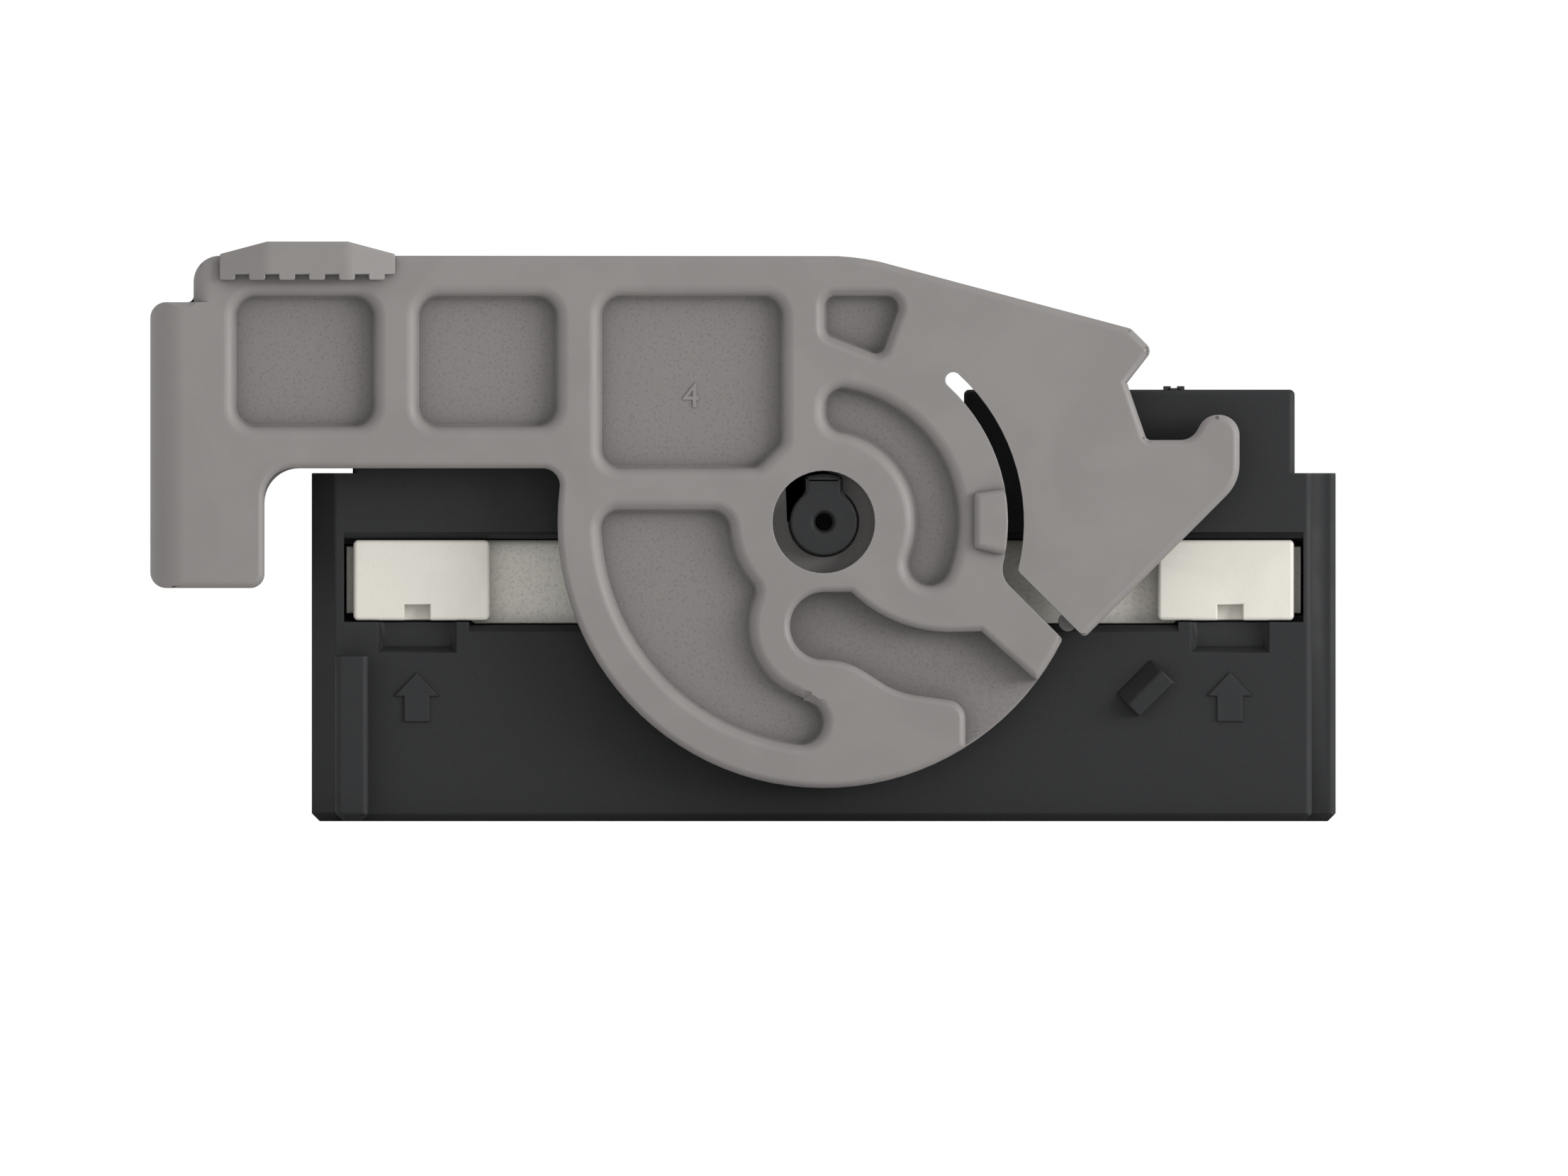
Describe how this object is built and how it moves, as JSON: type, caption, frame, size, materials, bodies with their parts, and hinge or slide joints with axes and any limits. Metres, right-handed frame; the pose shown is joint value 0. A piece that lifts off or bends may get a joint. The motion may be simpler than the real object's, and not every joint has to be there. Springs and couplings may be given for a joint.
{
  "type": "lever-assisted automotive connector housing",
  "caption": "Multi-way plug housing with a mate-assist cam lever on side posts, a sliding terminal lock in the front wall and a toothed thumb grip.",
  "frame": {"origin": "middle of the mating face, the flat underside of the body", "axes": "+X along the body away from the lever's handle, -Y towards the side with the terminal lock, +Z from the mating face towards the wires"},
  "size_m": [0.0753, 0.0338, 0.0368],
  "materials": {
    "black_body": "fine-grained glass-filled black, satin",
    "natural_white": "undyed off-white, satin with a fine speckle",
    "grey_acetal": "warm grey, semi-matt"
  },
  "bodies": {
    "connector_body": {"housing": "black_body"},
    "terminal_lock": {"secondary_lock": "natural_white"},
    "cam_lever": {"lever": "grey_acetal"}
  },
  "joints": [
    {"name": "lever_hinge", "type": "hinge", "parent": "connector_body", "child": "cam_lever", "pos_m": [0, 0, 0.019], "axis": [0, 1, 0], "range_deg": [0, 45]},
    {"name": "lock_slide", "type": "slide", "parent": "connector_body", "child": "terminal_lock", "axis": [0, -1, 0], "range_m": [0, 0.0012]}
  ]
}
